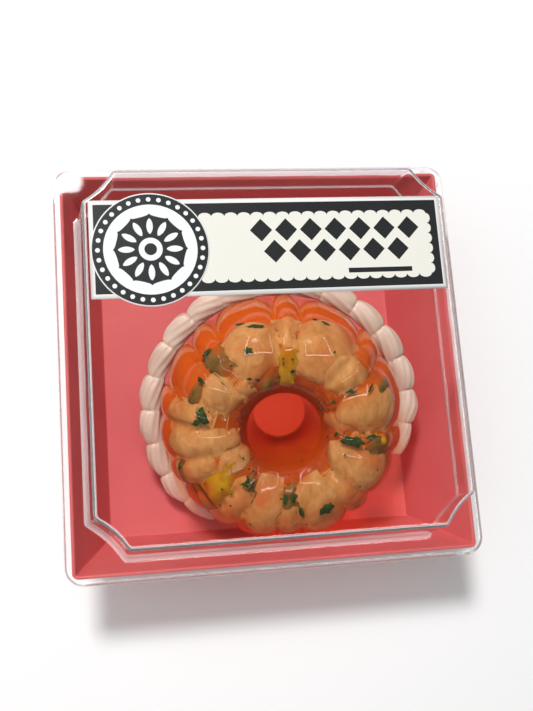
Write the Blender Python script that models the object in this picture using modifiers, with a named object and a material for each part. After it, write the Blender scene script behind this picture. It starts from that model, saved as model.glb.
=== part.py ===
"""A clear-lidded gift box with one moulded novelty jelly in it.

The box lies on its back. X runs along the label, Y from the jelly's low side up to the label, and
Z from the resting face up through the clear lid. The origin is the middle of the resting face.
"""
import math

import bmesh
import bpy
from mathutils import Matrix, Vector

MM = 0.001
GAP = 0.3 * MM

# The tray is a folded pink box with flared walls and sharp mitred corners.
TRAY_HEIGHT = 21.3 * MM
TRAY_WALL = 0.7 * MM
TRAY_HALF_AT_REST = 31.7 * MM
TRAY_HALF_AT_RIM = 38.0 * MM
TRAY_FLOOR_HALF = 31.2 * MM
TRAY_CORNER = 1.0 * MM

# The lid is one formed sheet: a dome with scooped corners, a flange on the tray's rim and a skirt.
LID_SHEET = 0.45 * MM
DOME_HALF_AT_TOP = 33.4 * MM
DOME_HALF_AT_FLANGE = 35.5 * MM
DOME_HEIGHT = 14.5 * MM
DOME_EDGE = 0.7 * MM
SCOOP_LEG = 5.65 * MM
SCOOP_END = 0.65 * MM
SCOOP_SAG = 0.55 * MM
FLANGE_TOP = TRAY_HEIGHT + GAP + LID_SHEET
FLANGE_EDGE = 0.4 * MM
SKIRT_HALF_AT_FLANGE = 39.25 * MM
SKIRT_HALF_AT_HEM = 39.7 * MM
SKIRT_DEPTH = 7.0 * MM
SKIRT_CORNER = 3.5 * MM
SCOOP_STEPS = 4
LID_TOP = TRAY_HEIGHT + DOME_HEIGHT

# Two paper labels lie on the dome, the round one over the strip's left end.
PAPER = 0.2 * MM
STRIP_SIZE = (64.6 * MM, 17.9 * MM)
STRIP_CENTRE = (0.0, 18.55 * MM)
ROUND_LABEL_RADIUS = 10.4 * MM
ROUND_LABEL_CENTRE = (-21.7 * MM, 18.3 * MM)

# The jelly leans on its own axis: its base circle is centred here, and its top leans to -X and -Y.
JELLY_CENTRE = Vector((3.2 * MM, -8.5 * MM, TRAY_HEIGHT - 9.2 * MM))
JELLY_LEAN = (-0.12, -0.404)
JELLY_BASE_RADIUS = 23.7 * MM
JELLY_WALL_HEIGHT = 3.0 * MM
CROWN_RADIUS = 14.0 * MM
CROWN_HEIGHT = 17.6 * MM
HOLE_RIM_RADIUS = 6.9 * MM
HOLE_RIM_HEIGHT = 13.3 * MM
HOLE_BASE_RADIUS = 5.1 * MM
FOOT_RADIUS = 20.5 * MM
FOOT_HOLE_RADIUS = 9.5 * MM
FOOT_HOLE_DEPTH = 2.0 * MM
BASE_EDGE = 0.6 * MM
CROWN_SQUARENESS = 2.3
SIDE_STEPS = 7
RIM_STEPS = 5

# Nine wide lobes and nine narrow ones between them; the narrow ones are centred at these angles.
NARROW_LOBES = (-90, -50, -11, 38, 85, 129, 166, 201, 234)
NARROW_LOBE_WIDTH = 14
NARROW_STEPS = 5
WIDE_STEPS = 8
FLUTE_DEPTH = 1.6 * MM
FLUTE_DEPTH_AT_CROWN = 0.6 * FLUTE_DEPTH
CREST_WIDTH = 2.2
CREASE_SHARPNESS = 0.6

# The piped ruffle runs round the jelly's base and stops where the jelly leans on the tray's wall.
RUFFLE_RADIUS = 26.0 * MM
RUFFLE_LIFT = 1.2 * MM
RUFFLE_HALF_WIDTH = 2.0 * MM
RUFFLE_HALF_HEIGHT = 1.7 * MM
RUFFLE_START = -24
RUFFLE_SWEEP = 260
RUFFLE_SHELLS = 17
STEPS_PER_SHELL = 6
RUFFLE_RIDGES = 5
RIDGE_GROOVE = 0.88
SHELL_NECK = 0.74
SHELL_LEAN = 0.7
RUFFLE_TAPER_STEPS = 9
RUFFLE_END_SIZE = 0.45

PINK = (0.70, 0.105, 0.11, 1.0)
CLEAR = (0.92, 0.94, 0.95, 1.0)
PAPER_BLACK = (0.012, 0.013, 0.014, 1.0)
PAPER_WHITE = (0.80, 0.82, 0.80, 1.0)
JELLY_ORANGE = (0.62, 0.16, 0.035, 1.0)
ICING = (0.74, 0.58, 0.49, 1.0)


def clear_scene():
    """Removes whatever the file started with."""
    for thing in list(bpy.context.scene.objects):
        bpy.data.objects.remove(thing, do_unlink=True)


def principled(name, colour, roughness, transmission=0.0):
    """A plain material of one colour."""
    material = bpy.data.materials.new(name)
    material.use_nodes = True
    shader = material.node_tree.nodes["Principled BSDF"]
    shader.inputs["Base Color"].default_value = colour
    shader.inputs["Roughness"].default_value = roughness
    shader.inputs["Metallic"].default_value = 0.0
    shader.inputs["Transmission Weight"].default_value = transmission
    return material


def add_part(name, shape, material, collection, smooth_angle=None):
    """Turns a bmesh into a named object with its material."""
    bmesh.ops.recalc_face_normals(shape, faces=shape.faces[:])
    mesh = bpy.data.meshes.new(name)
    shape.to_mesh(mesh)
    shape.free()
    mesh.materials.append(material)
    if smooth_angle is not None:
        mesh.shade_smooth()
        mesh.set_sharp_from_angle(angle=math.radians(smooth_angle))
    part = bpy.data.objects.new(name, mesh)
    collection.objects.link(part)
    return part


def make_tray(collection):
    """A square frustum with softened folds, its top inset and pushed down to make the flared walls."""
    shape = bmesh.new()
    bmesh.ops.create_cone(
        shape,
        cap_ends=True,
        segments=4,
        radius1=TRAY_HALF_AT_REST * math.sqrt(2),
        radius2=TRAY_HALF_AT_RIM * math.sqrt(2),
        depth=TRAY_HEIGHT,
        matrix=Matrix.Translation((0, 0, TRAY_HEIGHT / 2)) @ Matrix.Rotation(math.pi / 4, 4, "Z"),
    )
    folds = [edge for edge in shape.edges if abs(edge.verts[0].co.z - edge.verts[1].co.z) > GAP]
    bmesh.ops.bevel(
        shape, geom=folds, offset=TRAY_CORNER, segments=3, profile=0.5, affect="EDGES", material=-1
    )
    top = max(shape.faces, key=lambda face: face.calc_center_median().z)
    bmesh.ops.inset_region(shape, faces=[top], thickness=TRAY_WALL)
    moved = bmesh.ops.extrude_face_region(shape, geom=[top])["geom"]
    corners = [item for item in moved if isinstance(item, bmesh.types.BMVert)]
    bmesh.ops.delete(shape, geom=[top], context="FACES_KEEP_BOUNDARY")
    shrink = TRAY_FLOOR_HALF / (TRAY_HALF_AT_RIM - TRAY_WALL)
    for corner in corners:
        corner.co = Vector((corner.co.x * shrink, corner.co.y * shrink, TRAY_WALL))
    return add_part("tray", shape, principled("tray_pink", PINK, 0.45), collection)


def curve_points(start, control, end, steps):
    """Points on the curve that leaves start and reaches end, drawn towards control."""
    points = []
    for step in range(steps + 1):
        t = step / steps
        points.append(start * (1 - t) ** 2 + control * (2 * t * (1 - t)) + end * t**2)
    return points


def scooped_corner(half):
    """The outline at one corner of the dome: a scoop, SCOOP_SAG deep, with a rounded end at each side."""
    leg = SCOOP_LEG + (2 - math.sqrt(2)) * (half - DOME_HALF_AT_TOP)
    low = Vector((half, half - leg))
    high = Vector((half - leg, half))
    along = (high - low).normalized()
    inward = Vector((-1, -1)).normalized()
    scoop_start = low + along * SCOOP_END + inward * SCOOP_SAG / 3
    scoop_end = high - along * SCOOP_END + inward * SCOOP_SAG / 3
    dip = (low + high) / 2 + inward * SCOOP_SAG * 5 / 3
    first = curve_points(low - Vector((0, SCOOP_END)), low, scoop_start, SCOOP_STEPS - 1)
    middle = curve_points(scoop_start, dip, scoop_end, SCOOP_STEPS)
    last = curve_points(scoop_end, high, high - Vector((SCOOP_END, 0)), SCOOP_STEPS - 1)
    return first + middle[1:-1] + last


def rounded_corner(half, radius, count):
    """The outline at one rounded corner, with the given number of points."""
    centre = Vector((half - radius, half - radius))
    turns = [math.pi / 2 * step / (count - 1) for step in range(count)]
    return [centre + Vector((math.cos(turn), math.sin(turn))) * radius for turn in turns]


def ring_edges(shape, corner, height):
    """Repeats a corner outline four times round the box and joins it into a ring."""
    verts = []
    for quarter in range(4):
        turn = Matrix.Rotation(quarter * math.pi / 2, 2)
        for point in corner:
            flat = turn @ point
            verts.append(shape.verts.new((flat.x, flat.y, height)))
    return [shape.edges.new((verts[i - 1], verts[i])) for i in range(len(verts))]


def make_lid(collection):
    """Rings from the dome's top down to the skirt's hem, bridged and then given the sheet's thickness."""
    shape = bmesh.new()
    rings = []
    for step in range(4):
        turn = math.pi / 2 * step / 3
        half = DOME_HALF_AT_TOP - DOME_EDGE * (1 - math.sin(turn))
        height = LID_TOP - DOME_EDGE * (1 - math.cos(turn))
        rings.append(ring_edges(shape, scooped_corner(half), height))
    foot = scooped_corner(DOME_HALF_AT_FLANGE - DOME_EDGE)
    rings.append(ring_edges(shape, foot, FLANGE_TOP + DOME_EDGE))
    rings.append(ring_edges(shape, scooped_corner(DOME_HALF_AT_FLANGE), FLANGE_TOP))
    count = len(foot)
    flange = rounded_corner(SKIRT_HALF_AT_FLANGE - FLANGE_EDGE, SKIRT_CORNER, count)
    rings.append(ring_edges(shape, flange, FLANGE_TOP))
    shoulder = rounded_corner(SKIRT_HALF_AT_FLANGE, SKIRT_CORNER, count)
    rings.append(ring_edges(shape, shoulder, FLANGE_TOP - FLANGE_EDGE))
    hem = rounded_corner(SKIRT_HALF_AT_HEM, SKIRT_CORNER, count)
    rings.append(ring_edges(shape, hem, FLANGE_TOP - SKIRT_DEPTH))
    for upper, lower in zip(rings, rings[1:]):
        bmesh.ops.bridge_loops(shape, edges=upper + lower)
    bmesh.ops.contextual_create(shape, geom=rings[0])
    lid = add_part("lid", shape, principled("lid_clear", CLEAR, 0.05, 1.0), collection, 40)
    sheet = lid.modifiers.new("sheet", "SOLIDIFY")
    sheet.thickness = LID_SHEET
    sheet.offset = -1
    sheet.use_even_offset = True
    return lid


def make_label_strip(collection):
    """The printed paper strip across the dome."""
    shape = bmesh.new()
    place = Matrix.Translation((*STRIP_CENTRE, LID_TOP + GAP + PAPER / 2))
    size = Matrix.Diagonal((*STRIP_SIZE, PAPER, 1))
    bmesh.ops.create_cube(shape, size=1, matrix=place @ size)
    return add_part("label_strip", shape, principled("label_print", PAPER_BLACK, 0.5), collection)


def make_round_label(collection):
    """The round paper label, which lies over the strip's left end."""
    shape = bmesh.new()
    under = LID_TOP + 2 * GAP + PAPER
    bmesh.ops.create_cone(
        shape,
        cap_ends=True,
        segments=48,
        radius1=ROUND_LABEL_RADIUS,
        radius2=ROUND_LABEL_RADIUS,
        depth=PAPER,
        matrix=Matrix.Translation((*ROUND_LABEL_CENTRE, under + PAPER / 2)),
    )
    return add_part("round_label", shape, principled("sticker_print", PAPER_WHITE, 0.5), collection)


def jelly_frame():
    """The matrix from the jelly's own frame, with its axis along Z, to the box."""
    axis = Vector((*JELLY_LEAN, 1)).normalized()
    across = Vector((0, 1, 0)).cross(axis).normalized()
    up = axis.cross(across)
    turn = Matrix((across, up, axis)).transposed().to_4x4()
    return Matrix.Translation(JELLY_CENTRE) @ turn


def lobe_edges():
    """The angles where one lobe ends and the next begins, narrow and wide lobes in turn."""
    half = NARROW_LOBE_WIDTH / 2
    edges = []
    for centre in NARROW_LOBES:
        edges += [centre - half, centre + half]
    return edges + [edges[0] + 360]


def flute_columns():
    """One angle and one valley share for each column of the jelly, from 0 on a crest to 1 in a crease."""
    columns = []
    edges = lobe_edges()
    for index, (start, end) in enumerate(zip(edges, edges[1:])):
        steps = WIDE_STEPS if index % 2 else NARROW_STEPS
        for step in range(steps):
            share = step / steps
            swell = (1 - abs(2 * share - 1) ** CREST_WIDTH) ** CREASE_SHARPNESS
            columns.append((math.radians(start + share * (end - start)), 1 - swell))
    return columns


def jelly_section():
    """The section through a crest: radius, height, how a crease sinks inwards and down, and how deep.

    A height of None is a point of the foot, which is cut level just above the tray's floor.
    """
    section = []
    power = 2 / CROWN_SQUARENESS
    for step in range(SIDE_STEPS + 1):
        climb = step / SIDE_STEPS
        out = math.cos(math.pi / 2 * climb)
        rise = math.sin(math.pi / 2 * climb)
        radius = CROWN_RADIUS + (JELLY_BASE_RADIUS - CROWN_RADIUS) * max(out, 0) ** power
        height = JELLY_WALL_HEIGHT + (CROWN_HEIGHT - JELLY_WALL_HEIGHT) * rise**power
        depth = FLUTE_DEPTH + (FLUTE_DEPTH_AT_CROWN - FLUTE_DEPTH) * climb
        section.append((radius, height, out, rise, depth))
    for step in range(1, RIM_STEPS + 1):
        dip = step / RIM_STEPS
        radius = CROWN_RADIUS - (CROWN_RADIUS - HOLE_RIM_RADIUS) * math.sin(math.pi / 2 * dip)
        height = HOLE_RIM_HEIGHT + (CROWN_HEIGHT - HOLE_RIM_HEIGHT) * math.cos(math.pi / 2 * dip)
        section.append((radius, height, 0, 1, FLUTE_DEPTH_AT_CROWN * (1 - dip)))
    smooth_points = [
        ((HOLE_RIM_RADIUS + HOLE_BASE_RADIUS) / 2, HOLE_RIM_HEIGHT / 2),
        (HOLE_BASE_RADIUS, BASE_EDGE / 2),
        (HOLE_BASE_RADIUS + BASE_EDGE, -BASE_EDGE),
        (FOOT_HOLE_RADIUS, -FOOT_HOLE_DEPTH),
        (FOOT_HOLE_RADIUS, None),
        (FOOT_RADIUS, None),
        (FOOT_RADIUS, -BASE_EDGE * 1.5),
    ]
    section += [(radius, height, 0, 0, 0) for radius, height in smooth_points]
    section.append((JELLY_BASE_RADIUS - BASE_EDGE * 1.5, -BASE_EDGE, 1, 0, FLUTE_DEPTH))
    section.append((JELLY_BASE_RADIUS, BASE_EDGE, 1, 0, FLUTE_DEPTH))
    return section


def spun_section(shape, points, sweep, steps):
    """Spins a closed section, given as radius and height, about Z; each vertex keeps its place in it."""
    place = shape.verts.layers.int.new("place")
    verts = [shape.verts.new((radius, 0, height)) for radius, height in points]
    for index, vert in enumerate(verts):
        vert[place] = index
    loop = [shape.edges.new((verts[i - 1], verts[i])) for i in range(len(verts))]
    bmesh.ops.spin(
        shape,
        geom=verts + loop,
        cent=(0, 0, 0),
        axis=(0, 0, 1),
        angle=math.radians(sweep),
        steps=steps,
        use_merge=sweep == 360,
    )
    return place


def column_of(vert, sweep, steps):
    """Which step of the spin a vertex belongs to."""
    turned = math.degrees(math.atan2(vert.co.y, vert.co.x)) % 360
    return round(turned / sweep * steps) % (steps + (sweep < 360))


def make_jelly(collection):
    """A section spun round the axis, sunk into flutes, with its foot cut level above the tray's floor."""
    frame = jelly_frame()
    columns = flute_columns()
    section = jelly_section()
    shape = bmesh.new()
    points = [(radius, height or 0) for radius, height, *_ in section]
    place = spun_section(shape, points, 360, len(columns))
    level = TRAY_WALL + GAP
    for vert in shape.verts:
        angle, valley = columns[column_of(vert, 360, len(columns))]
        radius, height, out, rise, depth = section[vert[place]]
        sink = depth * valley
        radius -= sink * out
        along = Vector((radius * math.cos(angle), radius * math.sin(angle), 0))
        if height is None:
            height = (level - (frame @ along).z) / frame[2][2]
        vert.co = along + Vector((0, 0, height - sink * rise))
    bmesh.ops.triangulate(shape, faces=shape.faces[:])
    material = principled("jelly_orange", JELLY_ORANGE, 0.12, 0.6)
    jelly = add_part("jelly_ring", shape, material, collection, 40)
    jelly.matrix_world = frame
    return jelly


def make_ruffle(collection):
    """A ridged section spun most of the way round, swelling and shrinking along each piped shell."""
    sides = 2 * RUFFLE_RIDGES
    steps = RUFFLE_SHELLS * STEPS_PER_SHELL
    ridges = []
    for side in range(sides):
        turn = 2 * math.pi * side / sides
        reach = 1.0 if side % 2 else RIDGE_GROOVE
        out = RUFFLE_HALF_WIDTH * reach * math.cos(turn)
        ridges.append((out, RUFFLE_HALF_HEIGHT * reach * math.sin(turn)))
    shape = bmesh.new()
    points = [(RUFFLE_RADIUS + out, rise) for out, rise in ridges]
    place = spun_section(shape, points, RUFFLE_SWEEP, steps)
    for vert in shape.verts:
        column = column_of(vert, RUFFLE_SWEEP, steps)
        angle = math.radians(RUFFLE_START + RUFFLE_SWEEP * column / steps)
        share = column / STEPS_PER_SHELL % 1
        taper = min(column, steps - column, RUFFLE_TAPER_STEPS) / RUFFLE_TAPER_STEPS
        swell = SHELL_NECK + (1 - SHELL_NECK) * math.sin(math.pi * share**SHELL_LEAN)
        swell *= RUFFLE_END_SIZE + (1 - RUFFLE_END_SIZE) * taper
        out, rise = ridges[vert[place]]
        radius = RUFFLE_RADIUS + out * swell
        height = RUFFLE_LIFT + rise * swell
        vert.co = Vector((radius * math.cos(angle), radius * math.sin(angle), height))
    ends = [edge for edge in shape.edges if edge.is_boundary]
    bmesh.ops.holes_fill(shape, edges=ends)
    bmesh.ops.triangulate(shape, faces=shape.faces[:])
    ruffle = add_part("ruffle", shape, principled("icing_cream", ICING, 0.55), collection, 40)
    ruffle.matrix_world = jelly_frame()
    return ruffle


def main():
    """Builds the box, its lid and labels, and the jelly inside."""
    clear_scene()
    box = bpy.data.collections.new("boxed_jelly")
    bpy.context.scene.collection.children.link(box)
    make_tray(box)
    make_lid(box)
    make_label_strip(box)
    make_round_label(box)
    make_jelly(box)
    make_ruffle(box)


main()
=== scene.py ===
# %% [markdown]
# # A novelty jelly in its clear-lidded box
#
# This lesson dresses one small gift box: a folded pink tray, a clear formed lid, two paper labels and
# a fluted jelly ring with a piped ruffle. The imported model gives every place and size. The pieces made
# here are finer copies of its solids, with the finishes that plain solids lack, and what is sunk in
# the jelly is added.

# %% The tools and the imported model
import math
import random

import bmesh
import bpy
from mathutils import Matrix, Vector, noise
from mathutils.bvhtree import BVHTree


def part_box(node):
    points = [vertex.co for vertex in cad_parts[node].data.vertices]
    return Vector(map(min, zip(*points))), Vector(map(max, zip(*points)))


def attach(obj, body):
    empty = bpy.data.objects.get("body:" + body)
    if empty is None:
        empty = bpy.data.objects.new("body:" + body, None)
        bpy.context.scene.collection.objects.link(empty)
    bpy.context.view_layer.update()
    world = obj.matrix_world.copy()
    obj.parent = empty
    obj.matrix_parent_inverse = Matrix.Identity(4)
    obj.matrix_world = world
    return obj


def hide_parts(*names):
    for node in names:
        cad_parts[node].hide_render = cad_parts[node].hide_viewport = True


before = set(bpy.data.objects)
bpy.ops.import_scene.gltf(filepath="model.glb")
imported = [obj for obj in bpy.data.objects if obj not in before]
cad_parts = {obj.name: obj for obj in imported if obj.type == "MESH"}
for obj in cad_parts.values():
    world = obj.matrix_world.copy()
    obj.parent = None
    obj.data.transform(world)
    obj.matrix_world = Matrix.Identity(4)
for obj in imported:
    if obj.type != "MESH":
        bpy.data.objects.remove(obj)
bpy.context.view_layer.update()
MM = 0.001
print("nodes:", ", ".join(sorted(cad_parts)))

# %% [markdown]
# ## The camera
#
# A photograph's camera can be found again from the box's own corners: their places on the picture
# and in the model fix where the lens stood. It looked almost straight down, a little from the left
# and from the low side. The same place is used here, so that the render can be laid on the photograph.

# %% The camera
PHOTO_WIDTH = 533
PHOTO_HEIGHT = 711
SENSOR_HEIGHT = 36.0
LENS = 45.13
CAMERA_PLACE = Vector((-28.1, -29.8, 187.8)) * MM
LOOK = Vector((0.1637, 0.1803, -0.9699)).normalized()
LOOK_RIGHT = LOOK.cross(Vector((0.043, 0.981, 0.19))).normalized()
LOOK_UP = LOOK_RIGHT.cross(LOOK)

camera = bpy.data.objects.new("camera", bpy.data.cameras.new("camera"))
camera.data.sensor_fit = "VERTICAL"
camera.data.sensor_height = SENSOR_HEIGHT
camera.data.lens = LENS
camera.data.clip_start = 1 * MM
turn = Matrix((LOOK_RIGHT, LOOK_UP, -LOOK)).transposed().to_4x4()
camera.matrix_world = Matrix.Translation(CAMERA_PLACE) @ turn
bpy.context.scene.collection.objects.link(camera)
bpy.context.scene.camera = camera
print("camera", [round(value / MM, 1) for value in CAMERA_PLACE], "mm")

# %% [markdown]
# ## Helpers for pieces and finishes
#
# Every piece is modelled in a bmesh, in the model's own frame, and then handed to an object at the
# origin. One helper does that handing over, so that each later cell is only about its shape. A second
# helper wires shader nodes: a keyword is a socket's name, and its value is a number, a colour or the
# output of another node.

# %% Helpers
TRAPPED_DEPTH = 5


def add_piece(name, shape, finishes, smooth_angle):
    """Turns a bmesh into a piece of the object, with its faces turned out."""
    bmesh.ops.recalc_face_normals(shape, faces=shape.faces[:])
    mesh = bpy.data.meshes.new(name)
    shape.to_mesh(mesh)
    shape.free()
    for finish in finishes:
        mesh.materials.append(finish)
    mesh.shade_smooth()
    mesh.set_sharp_from_angle(angle=math.radians(smooth_angle))
    piece = bpy.data.objects.new(name, mesh)
    bpy.context.scene.collection.objects.link(piece)
    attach(piece, "root")
    print(name, len(mesh.vertices), "vertices", len(mesh.polygons), "faces")
    return piece


def set_sockets(material, shader, **sockets):
    """Sets a node's inputs, by a value or by a link from another node's output."""
    for title, value in sockets.items():
        socket = shader.inputs[title.replace("_", " ")]
        if isinstance(value, bpy.types.NodeSocket):
            material.node_tree.links.new(value, socket)
        else:
            socket.default_value = value
    return shader


def add_node(material, kind, **sockets):
    """Adds a shader node and sets its inputs."""
    return set_sockets(material, material.node_tree.nodes.new(kind), **sockets)


def new_finish(name, **sockets):
    """A material and its Principled node, with plain numbers and colours set."""
    material = bpy.data.materials.new(name)
    material.use_nodes = True
    shader = material.node_tree.nodes["Principled BSDF"]
    set_sockets(material, shader, **sockets)
    return material, shader


def pattern(material, scale, detail=3.0, roughness=0.5, distortion=0.0, stretch=(1, 1, 1)):
    """A noise in millimetres of the model, read through Object coordinates."""
    place = add_node(material, "ShaderNodeTexCoord").outputs["Object"]
    sized = add_node(material, "ShaderNodeMapping", Vector=place, Scale=stretch)
    grain = add_node(
        material,
        "ShaderNodeTexNoise",
        Vector=sized.outputs["Vector"],
        Scale=scale / MM,
        Detail=detail,
        Roughness=roughness,
        Distortion=distortion,
    )
    return grain.outputs["Fac"]


def between(material, share, *stops):
    """Colours along a share from 0 to 1: each stop is a place and a colour."""
    ramp = add_node(material, "ShaderNodeValToRGB", Fac=share)
    while len(ramp.color_ramp.elements) < len(stops):
        ramp.color_ramp.elements.new(0.5)
    for element, (place, colour) in zip(ramp.color_ramp.elements, stops):
        element.position = place
        element.color = (*colour, 1)
    return ramp.outputs["Color"]


def bumped(material, height, depth):
    """A normal that is pushed by a height, with its depth in millimetres."""
    return add_node(material, "ShaderNodeBump", Height=height, Distance=depth * MM).outputs["Normal"]


def calculated(material, operation, first, second):
    """The output of a Math node with two inputs, each a number or another node's output."""
    node = add_node(material, "ShaderNodeMath")
    node.operation = operation
    for socket, value in zip(node.inputs, (first, second)):
        if isinstance(value, bpy.types.NodeSocket):
            material.node_tree.links.new(value, socket)
        else:
            socket.default_value = value
    return node.outputs[0]


def let_lamps_through(material, shader, tint):
    """Lets lamp light, and rays caught between many walls, pass a clear body straight, with a tint."""
    path = add_node(material, "ShaderNodeLightPath").outputs
    either = calculated(material, "MAXIMUM", path["Is Shadow Ray"], path["Is Diffuse Ray"])
    trapped = calculated(material, "GREATER_THAN", path["Transmission Depth"], TRAPPED_DEPTH)
    straight = calculated(material, "MAXIMUM", either, trapped)
    links = material.node_tree.links
    gap = add_node(material, "ShaderNodeBsdfTransparent", Color=(*tint, 1))
    mix = add_node(material, "ShaderNodeMixShader", Fac=straight)
    links.new(shader.outputs[0], mix.inputs[1])
    links.new(gap.outputs[0], mix.inputs[2])
    links.new(mix.outputs[0], material.node_tree.nodes["Material Output"].inputs["Surface"])


# %% [markdown]
# ## The tray
#
# The tray is one sheet, folded or pressed into a square with flared walls. Its walls meet in narrow
# rounded folds, which catch the light as a line in each corner. A four-sided cone is already that
# shape, so the folds are bevelled, the top is inset by the wall's thickness and pushed down to the
# floor. Every edge that is still sharp is then softened, because a real rim is never a knife edge.

# %% The tray's shape
TRAY_WALL = 0.7 * MM
TRAY_HALF_AT_REST = 31.7 * MM
TRAY_FLOOR_HALF = 31.2 * MM
TRAY_FOLD = 1.0 * MM
TRAY_SOFTENING = 0.25 * MM
SHARP_ANGLE = 30
tray_rim_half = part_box("tray")[1].x
tray_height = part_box("tray")[1].z


def make_tray_shape():
    """A hollow square frustum with soft folds and edges."""
    shape = bmesh.new()
    bmesh.ops.create_cone(
        shape,
        cap_ends=True,
        segments=4,
        radius1=TRAY_HALF_AT_REST * math.sqrt(2),
        radius2=tray_rim_half * math.sqrt(2),
        depth=tray_height,
        matrix=Matrix.Translation((0, 0, tray_height / 2)) @ Matrix.Rotation(math.pi / 4, 4, "Z"),
    )
    rises = [(edge, abs(edge.verts[0].co.z - edge.verts[1].co.z)) for edge in shape.edges]
    folds = [edge for edge, rise in rises if rise > TRAY_WALL]
    bevel_edges(shape, folds, TRAY_FOLD, 6)
    top = max(shape.faces, key=lambda face: face.calc_center_median().z)
    bmesh.ops.inset_region(shape, faces=[top], thickness=TRAY_WALL)
    moved = bmesh.ops.extrude_face_region(shape, geom=[top])["geom"]
    bmesh.ops.delete(shape, geom=[top], context="FACES_KEEP_BOUNDARY")
    shrink = TRAY_FLOOR_HALF / (tray_rim_half - TRAY_WALL)
    for corner in moved:
        if isinstance(corner, bmesh.types.BMVert):
            corner.co = Vector((corner.co.x * shrink, corner.co.y * shrink, TRAY_WALL))
    bmesh.ops.recalc_face_normals(shape, faces=shape.faces[:])
    sharp = [edge for edge in shape.edges if edge.calc_face_angle() > math.radians(SHARP_ANGLE)]
    bevel_edges(shape, sharp, TRAY_SOFTENING, 3)
    return shape


def bevel_edges(shape, edges, width, segments):
    """Rounds edges over to a width."""
    bmesh.ops.bevel(
        shape,
        geom=edges,
        offset=width,
        segments=segments,
        profile=0.5,
        affect="EDGES",
        material=-1,
        clamp_overlap=True,
    )


# %% [markdown]
# The tray's finish is a satin pink. Coated card and pressed plastic look alike here: the colour drifts
# a little over the sheet, a very fine tooth breaks up the shine, and the shine itself is wide and soft.

# %% The tray's finish
PINK = (0.64, 0.118, 0.114)
PINK_DEEP = (0.58, 0.095, 0.098)


def make_tray_finish():
    """Satin pink with a slow drift of tone and a fine tooth."""
    material, shader = new_finish("satin_pink", IOR=1.45, Specular_IOR_Level=0.3)
    drift = pattern(material, 0.05, detail=2)
    tooth = pattern(material, 6.0, detail=4)
    colour = between(material, drift, (0.35, PINK_DEEP), (0.65, PINK))
    shine = between(material, tooth, (0.3, (0.5,) * 3), (0.7, (0.6,) * 3))
    normal = bumped(material, tooth, 0.006)
    set_sockets(material, shader, Base_Color=colour, Roughness=shine, Normal=normal)
    return material


tray = add_piece("tray_card", make_tray_shape(), [make_tray_finish()], 35)
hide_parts("tray")

# %% [markdown]
# ## The clear lid
#
# The lid is a thin clear sheet drawn over a mould. Its dome has a shallow scoop across each corner, so
# that a thumb can push there, then a flat flange lies on the tray's rim and a skirt grips outside it.
# Each level of that form is one closed outline. The edge of the flat top is extruded once for each
# level, and its vertices are moved onto that outline, so the sheet is drawn out as it is over a mould,
# and a Solidify gives it its thickness. Each flat area has one more outline close to its edge, or
# smooth shading would bend the reflections on it. The rounded edges matter most: on clear plastic they
# are the only places that show as bright lines. Drawing the sheet round them also clouds it a little,
# so the faces of the rounded edges get a hazier finish of their own.

# %% Sizes of the lid
LID_SHEET = 0.45 * MM
DOME_HALF_AT_TOP = 33.4 * MM
DOME_HALF_AT_FLANGE = 35.5 * MM
DOME_EDGE = 0.7 * MM
SCOOP_LEG = 5.65 * MM
SCOOP_END = 0.65 * MM
SCOOP_SAG = 0.55 * MM
SKIRT_HALF_AT_FLANGE = 39.25 * MM
SKIRT_CORNER = 3.5 * MM
FLANGE_EDGE = 0.5 * MM
FLANGE_RISE = 0.75 * MM
FLAT_MARGIN = 0.35 * MM
SCOOP_STEPS = 12
EDGE_STEPS = 7
CLEAR_FACE, HAZY_FACE = 0, 1

lid_low, lid_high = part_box("lid")
lid_top = lid_high.z
flange_top = tray_height + FLANGE_RISE
hem_half = lid_high.x
lid_heights = {"top": lid_top, "flange": flange_top, "hem": lid_low.z}
print("lid, mm:", {name: round(height / MM, 2) for name, height in lid_heights.items()})


# %% Outlines of the lid
def curve_points(start, control, end, steps):
    """Points on the curve that leaves start and reaches end, drawn towards control."""
    shares = [step / steps for step in range(steps + 1)]
    return [start * (1 - t) ** 2 + control * (2 * t * (1 - t)) + end * t**2 for t in shares]


def scooped_corner(half):
    """One corner of the dome: a scoop, SCOOP_SAG deep, with a rounded end at each side."""
    leg = SCOOP_LEG + (2 - math.sqrt(2)) * (half - DOME_HALF_AT_TOP)
    low = Vector((half, half - leg))
    high = Vector((half - leg, half))
    along = (high - low).normalized()
    inward = Vector((-1, -1)).normalized()
    shallow = SCOOP_SAG / 3
    scoop_start = low + along * SCOOP_END + inward * shallow
    scoop_end = high - along * SCOOP_END + inward * shallow
    dip = (low + high) / 2 + inward * (2 * SCOOP_SAG - shallow)
    first = curve_points(low - Vector((0, SCOOP_END)), low, scoop_start, SCOOP_STEPS // 2)
    middle = curve_points(scoop_start, dip, scoop_end, SCOOP_STEPS)
    last = curve_points(scoop_end, high, high - Vector((SCOOP_END, 0)), SCOOP_STEPS // 2)
    return first + middle[1:-1] + last


def rounded_corner(half, radius, count):
    """One round corner with the given number of points."""
    centre = Vector((half - radius, half - radius))
    turns = [math.pi / 2 * step / (count - 1) for step in range(count)]
    return [centre + Vector((math.cos(turn), math.sin(turn))) * radius for turn in turns]


def close_loop(shape, places):
    """Joins places into one closed loop of edges."""
    verts = [shape.verts.new(place) for place in places]
    return [shape.edges.new((verts[i - 1], verts[i])) for i in range(len(verts))]


def close_outline(shape, points, height):
    """Joins flat points into one closed loop of edges at a height."""
    return close_loop(shape, [(point[0], point[1], height) for point in points])


def all_round(corner):
    """Repeats one corner on all four sides."""
    turns = [Matrix.Rotation(quarter * math.pi / 2, 2) for quarter in range(4)]
    return [turn @ point for turn in turns for point in corner]


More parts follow.
